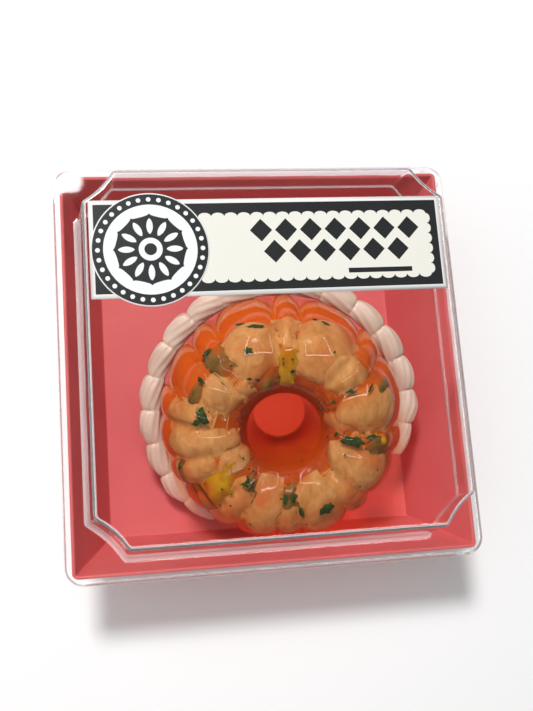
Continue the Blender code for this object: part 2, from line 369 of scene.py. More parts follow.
# %% The lid's shape
def lid_levels():
    """The lid's outlines, each one corner and its height, from the dome's top to the skirt's hem."""
    quarter = [math.pi / 2 * step / EDGE_STEPS for step in range(EDGE_STEPS + 1)]
    levels = [(scooped_corner(DOME_HALF_AT_TOP - DOME_EDGE - FLAT_MARGIN), lid_top)]
    for turn in quarter:
        half = DOME_HALF_AT_TOP - DOME_EDGE * (1 - math.sin(turn))
        levels.append((scooped_corner(half), lid_top - DOME_EDGE * (1 - math.cos(turn))))
    for turn in quarter:
        half = DOME_HALF_AT_FLANGE - DOME_EDGE * math.cos(turn)
        levels.append((scooped_corner(half), flange_top + DOME_EDGE * (1 - math.sin(turn))))
    levels.append((scooped_corner(DOME_HALF_AT_FLANGE + FLAT_MARGIN), flange_top))
    count = len(levels[0][0])
    flat_end = SKIRT_HALF_AT_FLANGE - FLANGE_EDGE - FLAT_MARGIN
    levels.append((rounded_corner(flat_end, SKIRT_CORNER, count), flange_top))
    for turn in quarter:
        half = SKIRT_HALF_AT_FLANGE - FLANGE_EDGE * (1 - math.sin(turn))
        corner = rounded_corner(half, SKIRT_CORNER, count)
        levels.append((corner, flange_top - FLANGE_EDGE * (1 - math.cos(turn))))
    levels.append((rounded_corner(hem_half, SKIRT_CORNER, count), lid_low.z))
    return levels


def make_lid_shape():
    """A flat top whose edge is drawn out from level to level, down to the skirt's hem."""
    shape = bmesh.new()
    place = shape.verts.layers.int.new("place")
    (corner, height), *lower_levels = lid_levels()
    ring = close_outline(shape, all_round(corner), height)
    for index, vert in enumerate(shape.verts):
        vert[place] = index
    bmesh.ops.contextual_create(shape, geom=ring)
    for corner, height in lower_levels:
        outline = all_round(corner)
        made = bmesh.ops.extrude_edge_only(shape, edges=ring)["geom"]
        ring = [part for part in made if isinstance(part, bmesh.types.BMEdge)]
        for vert in {vert for edge in ring for vert in edge.verts}:
            spot = Vector((*outline[vert[place]], height))
            step = spot - vert.co
            vert.co = spot
        for edge in ring:
            drawn = step.z < 0 and step.length < DOME_EDGE
            edge.link_faces[0].material_index = HAZY_FACE if drawn else CLEAR_FACE
    return shape


# %% [markdown]
# Clear plastic is a glass shader with a little roughness. Lamps would not find what is under it, since
# a ray from a surface towards a lamp is bent away, so such rays are let straight through. That is the
# usual trick for thin clear sheets, and it keeps the inside of the box bright and free of noise. A
# ray caught between many walls is let out the same way. The index of refraction is lower than real
# plastic's, which keeps the reflections on the dome as faint as they are in the photograph.

# %% The lid's finishes
CLEAR_TINT = (0.985, 0.99, 0.99)
HAZY_TINT = (0.96, 0.97, 0.97)
LID_INDEX = 1.27


def make_clear_finish(name, tint, roughness, clearness):
    """Clear plastic, smooth but for faint waves left by the mould."""
    material, shader = new_finish(name, Base_Color=(*tint, 1), Roughness=roughness, IOR=LID_INDEX)
    waves = bumped(material, pattern(material, 0.12, detail=1), 0.05)
    set_sockets(material, shader, Transmission_Weight=clearness, Normal=waves)
    let_lamps_through(material, shader, tint)
    return material


clear_sheet = make_clear_finish("clear_sheet", CLEAR_TINT, 0.03, 1.0)
hazy_edge = make_clear_finish("hazy_edge", HAZY_TINT, 0.12, 0.78)
lid = add_piece("lid_sheet", make_lid_shape(), [clear_sheet, hazy_edge], 50)
sheet = lid.modifiers.new("sheet", "SOLIDIFY")
sheet.thickness = LID_SHEET
sheet.offset = -1
sheet.use_even_offset = True
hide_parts("lid")

# %% [markdown]
# ## The paper strip
#
# A printed strip lies across the dome. It is white paper with a narrow bare margin, a black band and,
# in the band, an off-white field whose edge is a row of little scallops. The edges of the print are
# sharp, so they are modelled as outlines on the paper's top face, and the areas between the outlines
# are filled, each with its own finish. The field holds a plain harlequin of lozenges.

# %% Outlines for print
PAPER_THICKNESS = 0.16 * MM
PAPER_LIFT = 0.03 * MM
PAPER, INK, FIELD = 0, 1, 2
SCALLOP_STEPS = 8


def rectangle(left, right, low, high):
    """The four corners of an upright rectangle."""
    return [Vector(corner) for corner in ((left, low), (right, low), (right, high), (left, high))]


def circle(centre, radius, count):
    """Evenly spaced points on a circle."""
    turns = [2 * math.pi * step / count for step in range(count)]
    return [centre + Vector((math.cos(turn), math.sin(turn))) * radius for turn in turns]


def lozenge(centre, width, height):
    """The four tips of a lozenge."""
    tips = ((width / 2, 0), (0, height / 2), (-width / 2, 0), (0, -height / 2))
    return [centre + Vector(tip) for tip in tips]


def scalloped_side(start, end, pitch, depth):
    """Points along a side made of round scallops that stand out to its right."""
    run = end - start
    count = round(run.length / pitch)
    outward = Vector((run.y, -run.x)).normalized()
    points = []
    for scallop in range(count):
        for step in range(SCALLOP_STEPS):
            share = (1 - math.cos(math.pi * step / SCALLOP_STEPS)) / 2
            bulge = math.sin(math.pi * step / SCALLOP_STEPS) * depth
            points.append(start + run * (scallop + share) / count + outward * bulge)
    return points


def fill_print(shape, outlines, finish):
    """Fills the area between outlines and gives its faces one finish."""
    edges = [edge for outline in outlines for edge in outline]
    made = bmesh.ops.triangle_fill(shape, use_beauty=True, use_dissolve=False, edges=edges)["geom"]
    for face in made:
        if isinstance(face, bmesh.types.BMFace):
            face.material_index = finish


# %% The strip's print
STRIP_MARGIN = 0.8 * MM
FIELD_LEFT = -13.0 * MM
FIELD_INSET_HIGH = 2.55 * MM
FIELD_INSET_LOW = 2.2 * MM
FIELD_END_INSET = 2.0 * MM
SCALLOP_PITCH = 2.3 * MM
END_PITCH = 1.95 * MM
SCALLOP_DEPTH = 0.75 * MM
ORNAMENT_MARGIN = 3.68 * MM
LOZENGE_SIZE = (4.1 * MM, 4.3 * MM)
LOZENGE_PITCH = 4.6 * MM
LOZENGE_COLUMNS = 7
LOZENGE_ROWS = (2.0 * MM, -2.0 * MM)
RULE_SIZE = (12.0 * MM, 0.9 * MM)

strip_low, strip_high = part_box("label_strip")


def make_strip_shape():
    """The strip's top face, divided into margin, band, field and ornaments."""
    shape = bmesh.new()
    top = lid_top + PAPER_LIFT + PAPER_THICKNESS
    cut = rectangle(strip_low.x, strip_high.x, strip_low.y, strip_high.y)
    left, right = strip_low.x + STRIP_MARGIN, strip_high.x - STRIP_MARGIN
    low, high = strip_low.y + STRIP_MARGIN, strip_high.y - STRIP_MARGIN
    field_low, field_high = low + FIELD_INSET_LOW, high - FIELD_INSET_HIGH
    field = rectangle(FIELD_LEFT, right - FIELD_END_INSET, field_low, field_high)
    scallops = scalloped_side(field[0], field[1], SCALLOP_PITCH, SCALLOP_DEPTH)
    scallops += scalloped_side(field[1], field[2], END_PITCH, SCALLOP_DEPTH)
    scallops += scalloped_side(field[2], field[3], SCALLOP_PITCH, SCALLOP_DEPTH) + [field[3]]
    paper_edge = close_outline(shape, cut, top)
    band_edge = close_outline(shape, rectangle(left, right, low, high), top)
    field_edge = close_outline(shape, scallops, top)
    ornaments = []
    middle = (low + high) / 2 + RULE_SIZE[1]
    ornament_right = field[1].x - ORNAMENT_MARGIN
    for row, rise in enumerate(LOZENGE_ROWS):
        for column in range(LOZENGE_COLUMNS - row):
            across = ornament_right - LOZENGE_PITCH * (column + row / 2)
            points = lozenge(Vector((across, middle + rise)), *LOZENGE_SIZE)
            ornaments.append(close_outline(shape, points, top))
    rule_left, rule_low = ornament_right - RULE_SIZE[0], field_low + RULE_SIZE[1] / 2
    rule = rectangle(rule_left, ornament_right, rule_low, rule_low + RULE_SIZE[1])
    ornaments.append(close_outline(shape, rule, top))
    fill_print(shape, [paper_edge, band_edge], PAPER)
    fill_print(shape, [band_edge, field_edge], INK)
    fill_print(shape, [field_edge, *ornaments], FIELD)
    for ornament in ornaments:
        fill_print(shape, [ornament], INK)
    return shape


# %% [markdown]
# Ink and paper differ in more than colour. Ink lies on the paper's fibres and lets specks of it show,
# and it is a little glossier than the bare sheet. The field is a warmer white than the cut margin. In
# the soft light of the photograph no shadow of the print falls on the jelly, so it casts none here.

# %% Paper finishes
PRINT_SHEEN = 0.12


def make_paper_finish(name, tone, speck_tone, gloss):
    """Paper or ink with fine specks and a soft tooth."""
    material, shader = new_finish(name, Roughness=gloss, Specular_IOR_Level=PRINT_SHEEN)
    specks = pattern(material, 5.0, detail=5, roughness=0.7)
    colour = between(material, specks, (0.42, tone), (0.72, speck_tone))
    normal = bumped(material, pattern(material, 3.0, detail=4), 0.012)
    set_sockets(material, shader, Base_Color=colour, Normal=normal)
    return material


bare_paper = make_paper_finish("bare_paper", (0.77, 0.77, 0.75), (0.71, 0.71, 0.69), 0.55)
black_ink = make_paper_finish("black_ink", (0.010, 0.011, 0.012), (0.030, 0.032, 0.034), 0.42)
warm_field = make_paper_finish("warm_field", (0.77, 0.76, 0.69), (0.71, 0.70, 0.63), 0.5)


def add_paper(name, shape, finishes):
    """A printed sheet: its top face is given thickness downwards, with a bare back and cut edge."""
    piece = add_piece(name, shape, finishes, 30)
    for face in piece.data.polygons:
        if face.normal.z < 0:
            face.flip()
    sheet = piece.modifiers.new("sheet", "SOLIDIFY")
    sheet.thickness = PAPER_THICKNESS
    sheet.offset = -1
    sheet.material_offset = -FIELD
    sheet.material_offset_rim = -FIELD
    piece.visible_shadow = False
    return piece


strip = add_paper("printed_strip", make_strip_shape(), [bare_paper, black_ink, warm_field])
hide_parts("label_strip")

# %% [markdown]
# ## The round sticker
#
# A round sticker is stuck over the strip's left end. It has a black ring and a white middle, and a
# thin white line is left all round where it was cut. A string of white beads runs round the ring, and
# the middle holds a plain rosette. It is drawn the same way as the strip, and lies one paper higher.

# %% The sticker's print
CUT_LINE = 0.22 * MM
MIDDLE_RADIUS = 8.25 * MM
BEADS = 32
BEAD_RADIUS = 0.42 * MM
ROSETTE_RADIUS = 6.6 * MM
ROSETTE_PETALS = 12
PETAL_WAVE = 0.5 * MM
PETAL_SIZE = (2.9 * MM, 1.15 * MM)
PETAL_PLACE = 4.25 * MM
EYE_RADII = (2.1 * MM, 1.1 * MM)
PETAL_SHARPNESS = 0.4
CUT_POINTS = 120
MIDDLE_POINTS = 96
BEAD_POINTS = 14
ROSETTE_POINTS = 144
PETAL_POINTS = 16
EYE_POINTS = 40

sticker_low, sticker_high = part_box("round_label")
sticker_centre = ((sticker_low + sticker_high) / 2).to_2d()
sticker_radius = (sticker_high.x - sticker_low.x) / 2


def around(radius, count, index):
    """A place on a circle round the sticker's middle, and its direction."""
    turn = 2 * math.pi * index / count
    direction = Vector((math.cos(turn), math.sin(turn)))
    return sticker_centre + direction * radius, direction


def petal(index):
    """A pointed oval that lies along a spoke."""
    middle, along = around(PETAL_PLACE, ROSETTE_PETALS, index)
    aside = Vector((-along.y, along.x))
    points = []
    for step in range(PETAL_POINTS):
        turn = 2 * math.pi * step / PETAL_POINTS
        width = math.sin(turn) * abs(math.sin(turn)) ** PETAL_SHARPNESS
        spot = middle + along * math.cos(turn) * PETAL_SIZE[0] / 2
        points.append(spot + aside * width * PETAL_SIZE[1] / 2)
    return points


def rosette_rim():
    """The rosette's edge, which comes to a tip at each petal."""
    points = []
    for index in range(ROSETTE_POINTS):
        dip = abs(math.sin(math.pi * ROSETTE_PETALS * index / ROSETTE_POINTS)) ** 0.5
        points.append(around(ROSETTE_RADIUS - PETAL_WAVE * dip, ROSETTE_POINTS, index)[0])
    return points


def make_sticker_shape():
    """The sticker's top face, divided into cut line, ring, beads, middle and rosette."""
    shape = bmesh.new()
    top = lid_top + 2 * (PAPER_LIFT + PAPER_THICKNESS)
    ring_radius = sticker_radius - CUT_LINE
    paper_edge = close_outline(shape, circle(sticker_centre, sticker_radius, CUT_POINTS), top)
    ring_edge = close_outline(shape, circle(sticker_centre, ring_radius, CUT_POINTS), top)
    middle_edge = close_outline(shape, circle(sticker_centre, MIDDLE_RADIUS, MIDDLE_POINTS), top)
    bead_place = (ring_radius + MIDDLE_RADIUS) / 2
    centres = [around(bead_place, BEADS, index)[0] for index in range(BEADS)]
    circles = [circle(centre, BEAD_RADIUS, BEAD_POINTS) for centre in centres]
    beads = [close_outline(shape, points, top) for points in circles]
    rosette_edge = close_outline(shape, rosette_rim(), top)
    petals = [close_outline(shape, petal(index), top) for index in range(ROSETTE_PETALS)]
    circles = [circle(sticker_centre, radius, EYE_POINTS) for radius in EYE_RADII]
    eye, pupil = [close_outline(shape, points, top) for points in circles]
    fill_print(shape, [paper_edge, ring_edge], PAPER)
    fill_print(shape, [ring_edge, middle_edge, *beads], INK)
    for bead in beads:
        fill_print(shape, [bead], FIELD)
    fill_print(shape, [middle_edge, rosette_edge], FIELD)
    fill_print(shape, [rosette_edge, eye, *petals], INK)
    for outline in petals:
        fill_print(shape, [outline], FIELD)
    fill_print(shape, [eye, pupil], FIELD)
    fill_print(shape, [pupil], INK)
    return shape


cool_white = make_paper_finish("cool_white", (0.80, 0.83, 0.83), (0.73, 0.76, 0.76), 0.45)
sticker = add_paper("round_sticker", make_sticker_shape(), [bare_paper, black_ink, cool_white])
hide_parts("round_label")

# %% [markdown]
# ## The jelly's own frame
#
# The jelly leans in its box, so it is modelled upright about its own axis and then turned. Its place
# and lean are the model's: a base circle, a centre and an axis. A ring is a section spun round an
# axis, and every vertex has to know which point of the section it came from and how far round it is,
# because the flutes and the ruffle's shells are pushed in afterwards. A vertex layer keeps the first,
# and the vertex's own angle gives the second.

# %% The jelly's frame and the spin
JELLY_CENTRE = Vector((3.2, -8.5, 12.1)) * MM
JELLY_AXIS = Vector((-0.12, -0.404, 1)).normalized()
across = Vector((0, 1, 0)).cross(JELLY_AXIS).normalized()
jelly_turn = Matrix((across, JELLY_AXIS.cross(across), JELLY_AXIS)).transposed().to_4x4()
jelly_place = Matrix.Translation(JELLY_CENTRE) @ jelly_turn


def spin_section(points, steps, sweep=360):
    """Spins a closed section, given as radius and height, about Z."""
    shape = bmesh.new()
    place = shape.verts.layers.int.new("place")
    edges = close_loop(shape, [(radius, 0, height) for radius, height in points])
    for index, vert in enumerate(shape.verts):
        vert[place] = index
    bmesh.ops.spin(
        shape,
        geom=shape.verts[:] + edges,
        cent=(0, 0, 0),
        axis=(0, 0, 1),
        angle=math.radians(sweep),
        steps=steps,
        use_merge=sweep == 360,
    )
    return shape


def spun_places(shape, steps, sweep=360):
    """Each vertex with its step round the axis and its place in the section."""
    place = shape.verts.layers.int["place"]
    for vert in shape.verts:
        turned = math.degrees(math.atan2(vert.co.y, vert.co.x)) % 360
        yield vert, round(turned / sweep * steps) % (steps + (sweep < 360)), vert[place]


# %% [markdown]
# ## The fluted jelly
#
# The mould gives nine wide lobes with a narrow one between each pair. Along a crest the section climbs
# a short wall, rolls over a squarish crown and dips into the hole. Between two lobes it sinks, most at
# the rim and hardly at all by the hole. So the crest's section is spun, and each column is pressed in
# by its share of a valley. A slow noise then makes the cast surface a little uneven, as set jelly is.
# A spin gives its faces in an order that changes from run to run. They are sorted, because what is
# pressed against this skin later would otherwise settle a little differently each time.

# %% Sizes of the jelly
BASE_RADIUS = 23.7 * MM
WALL_HEIGHT = 3.0 * MM
CROWN_RADIUS = 14.0 * MM
CROWN_HEIGHT = 17.6 * MM
HOLE_RIM_RADIUS = 6.9 * MM
HOLE_RIM_HEIGHT = 13.3 * MM
HOLE_BASE_RADIUS = 5.1 * MM
FOOT_RADIUS = 20.5 * MM
FOOT_HOLE_RADIUS = 9.5 * MM
FOOT_HOLE_DEPTH = 2.0 * MM
BASE_EDGE = 0.6 * MM
CROWN_SQUARENESS = 2.3
SIDE_STEPS = 26
RIM_STEPS = 14
HOLE_STEPS = 10
NARROW_LOBES = (-90, -50, -11, 38, 85, 129, 166, 201, 234)
NARROW_LOBE_WIDTH = 14
NARROW_STEPS = 14
WIDE_STEPS = 24
FLUTE_DEPTH = 1.6 * MM
FLUTE_DEPTH_AT_CROWN = 0.6 * FLUTE_DEPTH
CREST_WIDTH = 2.2
CREASE_SHARPNESS = 0.6
UNEVENNESS = 0.16 * MM
UNEVENNESS_WIDTH = 5 * MM
foot_level = TRAY_WALL + 0.3 * MM


# %% The jelly's section and columns
def crest_section():
    """Each point of a crest: radius, height, how a crease sinks inwards and down, and how deep."""
    power = 2 / CROWN_SQUARENESS
    section = []
    for step in range(SIDE_STEPS + 1):
        climb = step / SIDE_STEPS
        out, rise = math.cos(math.pi / 2 * climb), math.sin(math.pi / 2 * climb)
        radius = CROWN_RADIUS + (BASE_RADIUS - CROWN_RADIUS) * max(out, 0) ** power
        height = WALL_HEIGHT + (CROWN_HEIGHT - WALL_HEIGHT) * rise**power
        depth = FLUTE_DEPTH + (FLUTE_DEPTH_AT_CROWN - FLUTE_DEPTH) * climb
        section.append((radius, height, out, rise, depth))
    for step in range(1, RIM_STEPS + 1):
        dip = step / RIM_STEPS
        radius = CROWN_RADIUS - (CROWN_RADIUS - HOLE_RIM_RADIUS) * math.sin(math.pi / 2 * dip)
        height = HOLE_RIM_HEIGHT + (CROWN_HEIGHT - HOLE_RIM_HEIGHT) * math.cos(math.pi / 2 * dip)
        section.append((radius, height, 0, 1, FLUTE_DEPTH_AT_CROWN * (1 - dip)))
    for step in range(1, HOLE_STEPS + 1):
        share = step / HOLE_STEPS
        radius = HOLE_RIM_RADIUS + (HOLE_BASE_RADIUS - HOLE_RIM_RADIUS) * share
        section.append((radius, HOLE_RIM_HEIGHT + (BASE_EDGE - HOLE_RIM_HEIGHT) * share, 0, 0, 0))
    foot = [
        (HOLE_BASE_RADIUS + BASE_EDGE, -BASE_EDGE),
        (FOOT_HOLE_RADIUS, -FOOT_HOLE_DEPTH),
        (FOOT_HOLE_RADIUS, None),
        (FOOT_RADIUS, None),
        (FOOT_RADIUS, -BASE_EDGE * 1.5),
    ]
    section += [(radius, height, 0, 0, 0) for radius, height in foot]
    section.append((BASE_RADIUS - BASE_EDGE * 1.5, -BASE_EDGE, 1, 0, FLUTE_DEPTH))
    section.append((BASE_RADIUS - BASE_EDGE / 3, -BASE_EDGE / 2, 1, 0, FLUTE_DEPTH))
    section.append((BASE_RADIUS, BASE_EDGE, 1, 0, FLUTE_DEPTH))
    return section


def flute_columns():
    """An angle and a valley share for each column, 0 on a crest and 1 in a crease."""
    half = NARROW_LOBE_WIDTH / 2
    edges = [angle + side for angle in NARROW_LOBES for side in (-half, half)]
    edges.append(edges[0] + 360)
    columns = []
    for index, (start, end) in enumerate(zip(edges, edges[1:])):
        steps = WIDE_STEPS if index % 2 else NARROW_STEPS
        for step in range(steps):
            share = step / steps
            swell = (1 - abs(2 * share - 1) ** CREST_WIDTH) ** CREASE_SHARPNESS
            columns.append((math.radians(start + share * (end - start)), 1 - swell))
    return columns


# %% The jelly's shape
SLANT = (0.31, 0.57, 0.76)


def along_slant(face):
    """How far a face lies along a slanting line, which puts a skin's faces in one fixed order."""
    return sum(part * share for part, share in zip(face.calc_center_median(), SLANT))


def make_jelly_shape():
    """The crest's section spun round, pressed into flutes and cut level at its foot."""
    section = crest_section()
    columns = flute_columns()
    shape = spin_section([(radius, height or 0) for radius, height, *_ in section], len(columns))
    for vert, column, place in spun_places(shape, len(columns)):
        angle, valley = columns[column]
        radius, height, out, rise, depth = section[place]
        sink = depth * valley
        along = Vector((math.cos(angle), math.sin(angle), 0))
        spot = along * (radius - sink * out)
        if height is None:
            spot.z = (foot_level - (jelly_place @ spot).z) / jelly_place[2][2]
        else:
            spot.z = height - sink * rise
            swell = UNEVENNESS * noise.noise(spot / UNEVENNESS_WIDTH) if depth else 0
            spot += (along * out + Vector((0, 0, rise))) * swell
        vert.co = spot
    bmesh.ops.transform(shape, matrix=jelly_place, verts=shape.verts[:])
    bmesh.ops.recalc_face_normals(shape, faces=shape.faces[:])
    shape.faces.sort(key=along_slant)
    return shape


jelly_shape = make_jelly_shape()
jelly_skin = BVHTree.FromBMesh(jelly_shape)

# %% [markdown]
# The jelly is a clear amber gel that holds a little haze. The volume takes out blue and then green, so
# that a thin layer is pale and a deep one is red-orange, and a small share of the surface scatters
# light like milk. The mould leaves it glossy, which a clear coat gives. Lamps are let through here
# too, with the gel's own tint, or the pieces inside would be dark. A low index keeps its rim from
# mirroring too much of the white surroundings.

# %% The jelly's finish
GEL_MILK = (0.94, 0.48, 0.14)
GEL_PASSES = (0.97, 0.60, 0.14)
GEL_DENSITY = 150
GEL_INDEX = 1.24
GEL_LAMP_TINT = (0.98, 0.90, 0.80)


def make_gel_finish():
    """Amber gel: glossy, a little milky, and deeper in colour where it is thicker."""
    material, shader = new_finish(
        "amber_gel",
        Base_Color=(*GEL_MILK, 1),
        Roughness=0.05,
        IOR=GEL_INDEX,
        Transmission_Weight=0.98,
        Coat_Weight=0.35,
        Coat_Roughness=0.02,
        Coat_IOR=1.5,
    )
    normal = bumped(material, pattern(material, 0.35, detail=2), 0.03)
    set_sockets(material, shader, Normal=normal)
    let_lamps_through(material, shader, GEL_LAMP_TINT)
    gel = add_node(
        material, "ShaderNodeVolumeAbsorption", Color=(*GEL_PASSES, 1), Density=GEL_DENSITY
    )
    output = material.node_tree.nodes["Material Output"]
    material.node_tree.links.new(gel.outputs[0], output.inputs["Volume"])
    return material


jelly = add_piece("jelly_gel", jelly_shape, [make_gel_finish()], 60)
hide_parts("jelly_ring")

# %% [markdown]
# ## Finding a place under the skin
#
# What is sunk in the jelly is placed where the photograph shows it. A ray from the camera through a
# pixel meets the jelly's skin at one point, and the piece goes a stated depth below that point. From
# then on it belongs to the jelly: it lies under the skin from every side, and not on the picture.

# %% Places under the skin
def through_pixel(x, y):
    """Where the ray through a pixel of the photograph meets the jelly, with the normal there."""
    step = SENSOR_HEIGHT / LENS / PHOTO_HEIGHT
    aim = LOOK + LOOK_RIGHT * (x - PHOTO_WIDTH / 2) * step + LOOK_UP * (PHOTO_HEIGHT / 2 - y) * step
    point, normal, _, _ = jelly_skin.ray_cast(CAMERA_PLACE, aim.normalized())
    return point, normal


def sink_below(point, depth):
    """The point itself, or the nearest one that is deep enough under the skin."""
    nearest, normal, _, _ = jelly_skin.find_nearest(point)
    if (nearest - point).dot(normal) < depth:
        return nearest - normal * depth
    return point


def lying_frame(point, normal, turn, depth):
    """A frame below the skin: Z goes along the normal, X is turned from the picture's right."""
    right = (LOOK_RIGHT - normal * LOOK_RIGHT.dot(normal)).normalized()
    upward = normal.cross(right)
    flat = Matrix((right, upward, normal)).transposed().to_4x4()
    place = Matrix.Translation(point - normal * depth)
    return place @ flat @ Matrix.Rotation(math.radians(turn), 4, "Z")


# %% [markdown]
# ## The haze in the gel
#
# Deeper down the gel is no longer clear: fine particles make it an even orange haze, which hides the
# tray behind it and glows where the light falls. A second skin inside the first stands for the depth
# where the haze closes. It is close to the wall and two millimetres in under the crown, and it lies
# deeper at the low side, where morsels show right down to the rim.
#
# Its colour goes by the distance from the jelly's axis, from deep red round the hole
# through amber on the inner slope to bright orange at the rim. The orange is the gel's own, but the
# deep red round the hole is painted shade, standing for the shaded hole and the long path of light
# through gel there, and the brighter orange at the rim is a painted glow of light through the thin
# edge. What is sunk in gel has no shine of its own, since no air touches it, so the haze and the
# morsels have their specular level at zero.

# %% The haze
HAZE_DEPTH_AT_WALL = 0.35 * MM
HAZE_DEPTH_AT_LOW_WALL = 1.5 * MM
HAZE_DEPTH_AT_CROWN = 1.9 * MM
HAZE_UNEVENNESS = 0.4 * MM
HAZE_WAVE_WIDTH = 4 * MM
HAZE_LEAST_SHARE = 0.8
HAZE_REACH = 25 * MM
# Painted shade and glow: the stops darken to deep red towards the hole and brighten at the rim.
HAZE_SHADED_STOPS = (
    (0.26, (0.46, 0.030, 0.002)),
    (0.32, (0.48, 0.085, 0.003)),
    (0.47, (0.46, 0.120, 0.006)),
    (0.60, (0.52, 0.17, 0.03)),
    (0.80, (0.62, 0.16, 0.012)),
    (0.93, (0.68, 0.18, 0.014)),
)


def make_haze_shape():
    """The jelly's own form, drawn in along its normals, and further under the crown."""
    shape = make_jelly_shape()
    shape.normal_update()
    to_jelly = jelly_place.inverted()
    places = []
    for vert in shape.verts:
        own = to_jelly @ vert.co
        climb = min(max(own.z / HOLE_RIM_HEIGHT, 0), 1)
        low_side = max(-own.y / own.xy.length, 0) ** 2
        at_wall = HAZE_DEPTH_AT_WALL + (HAZE_DEPTH_AT_LOW_WALL - HAZE_DEPTH_AT_WALL) * low_side
        depth = at_wall + (HAZE_DEPTH_AT_CROWN - at_wall) * climb**2
        depth += HAZE_UNEVENNESS * climb * noise.noise(vert.co / HAZE_WAVE_WIDTH)
        places.append(sink_below(vert.co - vert.normal * depth, depth * HAZE_LEAST_SHARE))
    for vert, place in zip(shape.verts, places):
        vert.co = place
    return shape


def haze_colour_and_shade(material):
    """The haze's colour by the distance from the jelly's axis, with painted shade round the hole."""
    model = add_node(material, "ShaderNodeTexCoord").outputs["Object"]
    own = add_node(
        material,
        "ShaderNodeMapping",
        Vector=model,
        Location=JELLY_CENTRE,
        Rotation=jelly_turn.to_euler(),
    )
    own.vector_type = "TEXTURE"
    parts = add_node(material, "ShaderNodeSeparateXYZ", Vector=own.outputs["Vector"]).outputs
    flat = add_node(material, "ShaderNodeCombineXYZ", X=parts["X"], Y=parts["Y"])
    away = add_node(material, "ShaderNodeVectorMath")
    away.operation = "LENGTH"
    material.node_tree.links.new(flat.outputs[0], away.inputs[0])
    share = calculated(material, "DIVIDE", away.outputs["Value"], HAZE_REACH)
    return between(material, share, *HAZE_SHADED_STOPS)


def make_haze_finish():
    """An orange haze that light enters a little way."""
    material, shader = new_finish(
        "orange_haze",
        Specular_IOR_Level=0,
        Subsurface_Weight=0.5,
        Subsurface_Radius=(1.0, 0.35, 0.1),
        Subsurface_Scale=2.0 * MM,
    )
    set_sockets(material, shader, Base_Color=haze_colour_and_shade(material))
    return material


haze = add_piece("hazy_gel", make_haze_shape(), [make_haze_finish()], 80)
haze.visible_shadow = haze.visible_diffuse = False

# %% [markdown]
# ## The pale morsels
#
# Pale, fleshy morsels fill the lobes, pressed against the mould with a thin layer of gel over them. A
# morsel starts as a round blob, is stretched and made lumpy by noise, and is then pushed back wherever
# it comes closer to the skin than its depth, so that it takes the lobe's own form, as it did when it
# was cast. A few rounds of smoothing let it settle. Each vertex also keeps how far it is sunk, and the
# finishes fade with that into the haze.

# %% The morsels' shapes
# Each morsel: its middle on the photograph, its length and width in millimetres, its turn and depth.
MORSELS = [
    ((250, 352), (12.0, 10.0), 62, 0.55),
    ((224, 384), (8.0, 5.5), -65, 0.7),
    ((244, 392), (6.5, 5.0), 30, 0.75),
    ((327, 350), (13.0, 12.0), -50, 0.65),
    ((352, 386), (10.0, 8.0), -50, 0.6),
    ((288, 332), (9.0, 4.4), 90, 1.15),
    ((371, 412), (12.0, 9.0), 8, 0.5),
    ((340, 425), (7.5, 6.5), 30, 0.9),
    ((362, 465), (13.0, 11.0), -45, 0.6),
    ((345, 492), (9.0, 8.5), 20, 0.85),
    ((216, 408), (11.0, 8.5), 65, 0.6),
    ((182, 402), (9.0, 8.0), 70, 0.9),
    ((201, 446), (14.0, 7.4), 4, 0.5),
    ((190, 480), (10.0, 9.0), 50, 0.65),
    ((212, 514), (8.0, 6.5), 30, 1.1),
    ((266, 510), (13.0, 8.6), 88, 0.65),
    ((322, 512), (13.0, 10.0), -80, 0.7),
    ((291, 518), (9.5, 4.8), 90, 0.8),
    ((240, 512), (10.5, 7.4), 75, 0.85),
    ((354, 508), (8.5, 7.0), -50, 0.9),
    ((232, 452), (7.5, 6.5), 30, 1.05),
]
MORSEL_THICKNESS = 6.0
MORSEL_LUMPS = 0.16
LUMP_SCALE = 1.2
MORSEL_GRAIN = 0.015
GRAIN_SCALE = 5
SEED_SHIFT = (7.3, 3.1)
BLOB_SUBDIVISIONS = 4
SETTLING_ROUNDS = 8
FADE_DEPTH = 1.3 * MM


def add_blob(shape, pixel, size, turn, depth, seed, lumps):
    """A lumpy blob under the skin, pushed back to its depth wherever it comes closer."""
    sunk = shape.verts.layers.float.get("sunk") or shape.verts.layers.float.new("sunk")
    point, normal = through_pixel(*pixel)
    length, width, thickness = (value * MM / 2 for value in (*size, MORSEL_THICKNESS))
    made = bmesh.ops.create_icosphere(shape, subdivisions=BLOB_SUBDIVISIONS, radius=1)["verts"]
    frame_here = lying_frame(point, normal, turn, depth * MM + thickness)
    shift = Vector((seed * SEED_SHIFT[0], seed * SEED_SHIFT[1], 0))
    for vert in made:
        lump = 1 + lumps * noise.noise(vert.co * LUMP_SCALE + shift)
        lump += MORSEL_GRAIN * noise.noise(vert.co * GRAIN_SCALE + shift)
        stretched = Vector((vert.co.x * length, vert.co.y * width, vert.co.z * thickness)) * lump
        vert.co = sink_below(frame_here @ stretched, depth * MM)
    for _ in range(SETTLING_ROUNDS):
        bmesh.ops.smooth_vert(
            shape, verts=made, factor=0.5, use_axis_x=True, use_axis_y=True, use_axis_z=True
        )
    for vert in made:
        vert.co = sink_below(vert.co, depth * MM)
        vert[sunk] = (jelly_skin.find_nearest(vert.co)[3] - depth * MM) / FADE_DEPTH


def make_sunk_shape(rows, lumps, first_seed=0):
    """Several blobs in one mesh, each lumpy in its own way."""
    shape = bmesh.new()
    for seed, (pixel, size, turn, depth) in enumerate(rows, first_seed):
        add_blob(shape, pixel, size, turn, depth, seed, lumps)
    return shape


# %% [markdown]
# Cooked flesh is creamy, with fibres along it, and where the outside of a piece shows it is stained
# pink to red. Stretched noise gives the fibres and a slow noise gives the stain. A little subsurface
# light softens the edges between light and shade.

# %% The morsels' finish
FLESH_CREAM = (0.47, 0.30, 0.18)
FLESH_PALE = (0.73, 0.56, 0.44)
FLESH_PINK = (0.60, 0.26, 0.17)
FADE_START = 0.1


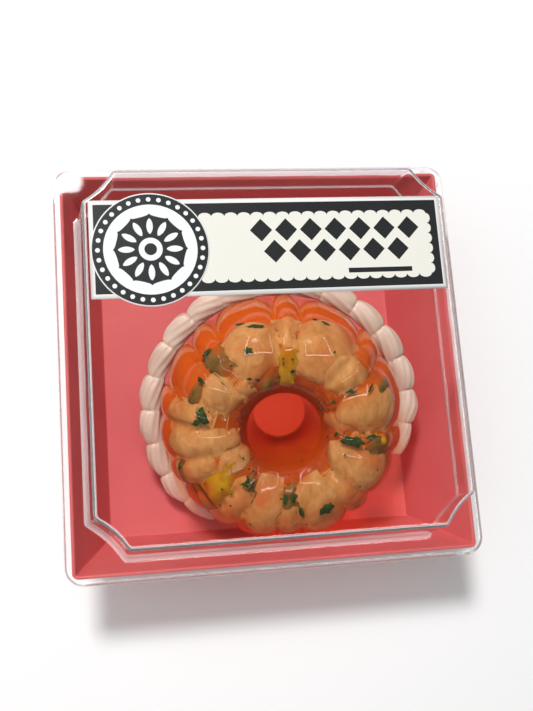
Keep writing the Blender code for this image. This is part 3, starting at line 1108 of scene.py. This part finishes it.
def faded(material, colour):
    """A colour that fades into the haze with the depth under the skin."""
    sunk = add_node(material, "ShaderNodeAttribute")
    sunk.attribute_name = "sunk"
    share = between(material, sunk.outputs["Fac"], (FADE_START, (0, 0, 0)), (1.0, (1, 1, 1)))
    mix = add_node(material, "ShaderNodeMixRGB", Fac=share, Color1=colour)
    set_sockets(material, mix, Color2=haze_colour_and_shade(material))
    return mix.outputs[0]


def make_flesh_finish():
    """Creamy flesh with fibres and pink stains."""
    material, shader = new_finish(
        "pale_flesh",
        Specular_IOR_Level=0,
        Subsurface_Weight=0.35,
        Subsurface_Radius=(1.0, 0.5, 0.3),
        Subsurface_Scale=1.2 * MM,
    )
    fibres = pattern(material, 0.45, detail=6, roughness=0.6, distortion=0.9, stretch=(1, 0.5, 1))
    stain = pattern(material, 0.16, detail=3, distortion=0.4)
    flesh = between(material, fibres, (0.3, FLESH_CREAM), (0.7, FLESH_PALE))
    blush = between(material, stain, (0.5, (0, 0, 0)), (0.72, (1, 1, 1)))
    mix = add_node(material, "ShaderNodeMixRGB", Fac=blush, Color1=flesh, Color2=(*FLESH_PINK, 1))
    normal = bumped(material, fibres, 0.12)
    set_sockets(material, shader, Base_Color=faded(material, mix.outputs[0]), Normal=normal)
    return material


morsel_shape = make_sunk_shape(MORSELS, MORSEL_LUMPS)
morsels = add_piece("sunk_morsels", morsel_shape, [make_flesh_finish()], 80)
morsels.visible_shadow = False

# %% [markdown]
# ## Stalk pieces
#
# Soft yellow-green pieces of stalk show at the upper narrow lobe, at the lower left and, small, at the
# right. Olive and grey-green ones lie between the morsels. They are made like the morsels, each colour
# as one piece.

# %% Stalk pieces
# Each stalk piece has the values that a morsel has.
YELLOW_STALKS = [
    ((290, 371), (8.0, 5.2), 90, 0.35),
    ((222, 484), (9.5, 5.6), 74, 0.45),
    ((387, 441), (3.2, 2.6), 0, 0.4),
]
OLIVE_STALKS = [
    ((268, 388), (6.0, 4.0), 55, 0.4),
    ((214, 364), (6.4, 4.6), -35, 0.45),
    ((387, 388), (6.4, 4.2), 60, 0.5),
    ((380, 434), (5.0, 2.2), 20, 0.6),
    ((181, 478), (8.5, 3.0), -68, 0.45),
    ((289, 499), (5.8, 3.6), 88, 0.4),
    ((190, 402), (6.0, 3.6), 70, 0.45),
    ((204, 507), (5.4, 3.6), -45, 0.6),
    ((246, 484), (5.6, 2.8), 62, 0.5),
]
STALK_LUMPS = 0.2
YELLOW_FIRST_SEED = 40
OLIVE_FIRST_SEED = 60
YELLOW_TONES = ((0.38, 0.26, 0.008), (0.62, 0.50, 0.02))
OLIVE_TONES = ((0.07, 0.08, 0.04), (0.26, 0.22, 0.11))


def make_soft_finish(name, tones, scale, depth, fades=True):
    """A soft vegetable body in two tones, which can fade into the haze."""
    material, shader = new_finish(
        name,
        Specular_IOR_Level=0,
        Subsurface_Weight=0.3,
        Subsurface_Radius=(0.8, 0.8, 0.3),
        Subsurface_Scale=1.0 * MM,
    )
    grain = pattern(material, scale, detail=4, distortion=0.5)
    colour = between(material, grain, (0.32, tones[0]), (0.68, tones[1]))
    if fades:
        colour = faded(material, colour)
    set_sockets(material, shader, Base_Color=colour, Normal=bumped(material, grain, depth))
    return material


yellow_flesh = make_soft_finish("yellow_stalk", YELLOW_TONES, 0.3, 0.05)
olive_flesh = make_soft_finish("olive_stalk", OLIVE_TONES, 0.4, 0.05)
for name, rows, first_seed, finish in (
    ("yellow_stalks", YELLOW_STALKS, YELLOW_FIRST_SEED, yellow_flesh),
    ("olive_stalks", OLIVE_STALKS, OLIVE_FIRST_SEED, olive_flesh),
):
    stalk_shape = make_sunk_shape(rows, STALK_LUMPS, first_seed)
    add_piece(name, stalk_shape, [finish], 80)

# %% [markdown]
# ## Chopped herb
#
# Chopped leaf lies just under the skin in ragged flakes, with tiny crumbs of it in between. A flake is
# a disc whose rim is pulled in and out, laid on the skin and lowered by a fraction of a millimetre, so
# that it bends with the lobe. One seeded draw gives every flake its own ragged rim.

# %% The flakes
# Each flake: its middle on the photograph, its length and width in millimetres, its turn and depth.
FLAKES = [
    ((248, 351), (1.8, 1.3), -20, 0.25),
    ((254, 325), (4.0, 1.0), -3, 0.5),
    ((238, 323), (2.0, 0.6), -2, 0.6),
    ((205, 352), (3.2, 1.3), 18, 0.6),
    ((200, 380), (2.2, 0.9), -48, 0.3),
    ((202, 416), (4.2, 2.4), -62, 0.22),
    ((196, 424), (2.0, 1.2), 20, 0.3),
    ((356, 442), (4.6, 2.3), -14, 0.22),
    ((346, 440), (2.2, 1.5), 30, 0.25),
    ((372, 436), (2.4, 0.8), 18, 0.6),
    ((301, 513), (2.8, 1.2), -64, 0.22),
    ((327, 510), (3.3, 2.5), 35, 0.22),
    ((357, 507), (1.5, 1.1), 10, 0.3),
    ((351, 391), (2.3, 1.0), -5, 0.35),
    ((371, 388), (2.6, 0.5), 62, 0.3),
    ((315, 318), (1.0, 0.5), 0, 0.5),
    ((326, 322), (1.7, 0.6), -20, 0.5),
    ((246, 482), (2.4, 1.6), 62, 0.3),
    ((252, 487), (2.4, 0.5), 62, 0.3),
    ((249, 380), (1.1, 0.6), 20, 0.25),
    ((258, 381), (1.0, 0.7), -20, 0.35),
    ((293, 372), (1.2, 0.8), 0, 0.2),
    ((333, 402), (1.0, 0.7), -20, 0.25),
    ((321, 410), (0.6, 0.9), 0, 0.25),
    ((178, 466), (1.8, 1.4), 80, 0.6),
    ((185, 487), (1.6, 1.1), -70, 0.6),
    ((285, 500), (1.9, 0.9), 88, 0.3),
    ((294, 499), (1.6, 0.8), 88, 0.3),
    ((336, 434), (1.2, 0.7), 30, 0.3),
    ((262, 432), (0.9, 0.6), 0, 0.3),
]
CRUMBS = [
    (283, 359), (293, 360), (283, 364), (222, 490), (232, 495), (230, 506), (306, 525), (360, 487),
    (253, 458), (249, 469), (253, 471), (301, 461), (327, 437), (250, 525), (318, 403), (328, 410),
    (324, 404), (318, 409), (256, 474), (345, 455), (243, 458), (335, 352), (231, 366), (378, 470),
]
CRUMB_SIZE = (0.55, 0.42)
CRUMB_DEPTH = 0.2
FLAKE_POINTS = 18
FLAKE_RAGGEDNESS = (0.55, 1.15)
FLAKE_THICKNESS = 0.09 * MM
HERB_SEED = 11
HERB_TONES = ((0.004, 0.035, 0.016), (0.012, 0.10, 0.045))


def add_flake(shape, pixel, size, turn, depth, draw):
    """A ragged disc, bent to lie at one depth under the skin."""
    point, normal = through_pixel(*pixel)
    spot = lying_frame(point, normal, turn, depth * MM)
    rim = bmesh.ops.create_circle(shape, cap_ends=True, segments=FLAKE_POINTS, radius=1)["verts"]
    for vert in rim:
        vert.co *= draw.uniform(*FLAKE_RAGGEDNESS)
    face = rim[0].link_faces[0]
    middle = bmesh.ops.poke(shape, faces=[face])["verts"]
    for vert in rim + middle:
        flat = Vector((vert.co.x * size[0] / 2 * MM, vert.co.y * size[1] / 2 * MM, 0))
        nearest, out, _, _ = jelly_skin.find_nearest(spot @ flat)
        vert.co = nearest - out * depth * MM


def make_herb_shape():
    """All flakes and crumbs of herb in one mesh of open sheets."""
    draw = random.Random(HERB_SEED)
    shape = bmesh.new()
    for pixel, size, turn, depth in FLAKES:
        add_flake(shape, pixel, size, turn, depth, draw)
    for pixel in CRUMBS:
        add_flake(shape, pixel, CRUMB_SIZE, draw.uniform(0, 180), CRUMB_DEPTH, draw)
    return shape


herb_green = make_soft_finish("chopped_herb", HERB_TONES, 1.2, 0.02, fades=False)
herb = add_piece("chopped_herb", make_herb_shape(), [herb_green], 80)
leaf = herb.modifiers.new("leaf", "SOLIDIFY")
leaf.thickness = FLAKE_THICKNESS
leaf.offset = 0

# %% [markdown]
# ## The piped ruffle
#
# A ruffle of pale icing is piped round the jelly's base with a star nozzle, in shells that each swell,
# curl and thin out under the next. A ridged section is spun most of the way round. Along each shell
# the ridges turn, the section swells and shrinks, and no two shells are quite alike.

# %% The ruffle's shape
RUFFLE_RADIUS = 25.7 * MM
RUFFLE_LIFT = 1.2 * MM
RUFFLE_HALF_WIDTH = 2.3 * MM
RUFFLE_HALF_HEIGHT = 1.7 * MM
RUFFLE_START = -24
RUFFLE_SWEEP = 260
RUFFLE_SHELLS = 17
STEPS_PER_SHELL = 24
RUFFLE_SIDES = 60
RIDGES = 9
RIDGE_DEPTH = 0.08
RIDGE_SWIRL = 1.3
SHELL_NECK = 0.55
SHELL_LEAN = 0.85
SHELL_FULLNESS = 0.55
INNER_CALM = 0.9
RUFFLE_TAPER = 36
RUFFLE_END_SIZE = 0.45
SHELL_VARIETY = 0.05
RUFFLE_SEED = 5


def make_ruffle_shape():
    """A ridged section spun along the base, shell by shell."""
    steps = RUFFLE_SHELLS * STEPS_PER_SHELL
    turns = [2 * math.pi * side / RUFFLE_SIDES for side in range(RUFFLE_SIDES)]
    points = [
        (RUFFLE_RADIUS + RUFFLE_HALF_WIDTH * math.cos(turn), RUFFLE_HALF_HEIGHT * math.sin(turn))
        for turn in turns
    ]
    draw = random.Random(RUFFLE_SEED)
    sizes = [1 + draw.uniform(-SHELL_VARIETY, SHELL_VARIETY) for _ in range(RUFFLE_SHELLS + 1)]
    shape = spin_section(points, steps, RUFFLE_SWEEP)
    for vert, column, place in spun_places(shape, steps, RUFFLE_SWEEP):
        angle = math.radians(RUFFLE_START + RUFFLE_SWEEP * column / steps)
        shell, share = divmod(column / STEPS_PER_SHELL, 1)
        fullness = math.sin(math.pi * share**SHELL_LEAN) ** SHELL_FULLNESS
        swell = SHELL_NECK + (1 - SHELL_NECK) * fullness
        if math.cos(turns[place]) < 0:
            swell += (1 - swell) * INNER_CALM * -math.cos(turns[place])
        taper = min(column, steps - column, RUFFLE_TAPER) / RUFFLE_TAPER
        swell *= (RUFFLE_END_SIZE + (1 - RUFFLE_END_SIZE) * taper) * sizes[int(shell)]
        ridge = math.cos(RIDGES * turns[place] + RIDGE_SWIRL * 2 * math.pi * share)
        reach = swell * (1 - RIDGE_DEPTH * (0.5 - 0.5 * ridge))
        radius = RUFFLE_RADIUS + RUFFLE_HALF_WIDTH * math.cos(turns[place]) * reach
        height = RUFFLE_LIFT + RUFFLE_HALF_HEIGHT * math.sin(turns[place]) * reach
        vert.co = Vector((radius * math.cos(angle), radius * math.sin(angle), height))
    ends = [edge for edge in shape.edges if edge.is_boundary]
    bmesh.ops.holes_fill(shape, edges=ends)
    bmesh.ops.transform(shape, matrix=jelly_place, verts=shape.verts[:])
    return shape


# %% The ruffle's finish
ICING = (0.74, 0.57, 0.46)
ICING_SHADE = (0.62, 0.43, 0.34)


def make_icing_finish():
    """Pale set icing with a soft sheen and a fine crust."""
    material, shader = new_finish(
        "pale_icing",
        Roughness=0.48,
        Subsurface_Weight=0.4,
        Subsurface_Radius=(1.0, 0.7, 0.5),
        Subsurface_Scale=0.8 * MM,
    )
    crust = pattern(material, 1.2, detail=4)
    tone = pattern(material, 0.12, detail=2)
    colour = between(material, tone, (0.35, ICING_SHADE), (0.65, ICING))
    set_sockets(material, shader, Base_Color=colour, Normal=bumped(material, crust, 0.03))
    return material


ruffle = add_piece("piped_ruffle", make_ruffle_shape(), [make_icing_finish()], 70)
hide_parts("ruffle")

# %% [markdown]
# ## Floor, light and colour
#
# The box lies on a white sheet under soft light from above the label's side, which throws a pale
# shadow towards the low side. One lamp makes the light and a very wide one fills the shadows. The wide
# lamp is kept out of reflections, which would veil the jelly's deep colours. Thin lamps in a frame
# stand for a window: their reflections draw the small bright outlines on the lobes.

# %% The floor
FLOOR_SIZE = 3.0
FLOOR_WHITE = (0.93, 0.93, 0.93)

floor_shape = bmesh.new()
bmesh.ops.create_grid(floor_shape, x_segments=1, y_segments=1, size=FLOOR_SIZE / 2)
floor_mesh = bpy.data.meshes.new("floor")
floor_shape.to_mesh(floor_mesh)
floor_shape.free()
floor_finish, _ = new_finish("white_floor", Base_Color=(*FLOOR_WHITE, 1), Roughness=0.8)
floor_mesh.materials.append(floor_finish)
floor = bpy.data.objects.new("floor", floor_mesh)
bpy.context.scene.collection.objects.link(floor)


# %% The light
# Places and sizes of lamps are in millimetres, and powers in watts.
KEY = {"place": (-120, 262, 520), "size": (110, 100), "power": 2.7}
FILL = {"place": (-350, -150, 700), "size": (1500, 1500), "power": 4.6}
LAMP_AIM = (0, 0, 20)
WINDOW_HEIGHT = 430
WINDOW_POWER = 0.34
WINDOW = {
    "window_left": ((-225, 180), (26, 480)),
    "window_right": ((228, 180), (26, 480)),
    "window_low": ((0, -78), (410, 26)),
}
SURROUND_STRENGTH = 0.15


def add_lamp(name, place, size, power, aim=LAMP_AIM):
    """A rectangular lamp that faces a point, in the box unless another is named."""
    lamp = bpy.data.lights.new(name, "AREA")
    lamp.shape = "RECTANGLE"
    lamp.size, lamp.size_y = (side * MM for side in size)
    lamp.energy = power
    thing = bpy.data.objects.new(name, lamp)
    thing.location = Vector(place) * MM
    thing.rotation_euler = (Vector(aim) * MM - thing.location).to_track_quat("-Z", "Y").to_euler()
    bpy.context.scene.collection.objects.link(thing)
    return thing


key = add_lamp("key", **KEY)
key.visible_transmission = False
fill = add_lamp("fill", **FILL)
fill.visible_glossy = fill.visible_transmission = False

# The strips of the window light no surface by themselves and are only mirrored.
for name, ((x, y), size) in WINDOW.items():
    strip_lamp = add_lamp(name, (x, y, WINDOW_HEIGHT), size, WINDOW_POWER, aim=(x, y, 0))
    strip_lamp.visible_diffuse = False

world = bpy.data.worlds.new("surround")
bpy.context.scene.world = world
world.use_nodes = True
surround = world.node_tree.nodes["Background"]
set_sockets(world, surround, Color=(1, 1, 1, 1), Strength=SURROUND_STRENGTH)

bpy.context.scene.view_settings.view_transform = "Standard"
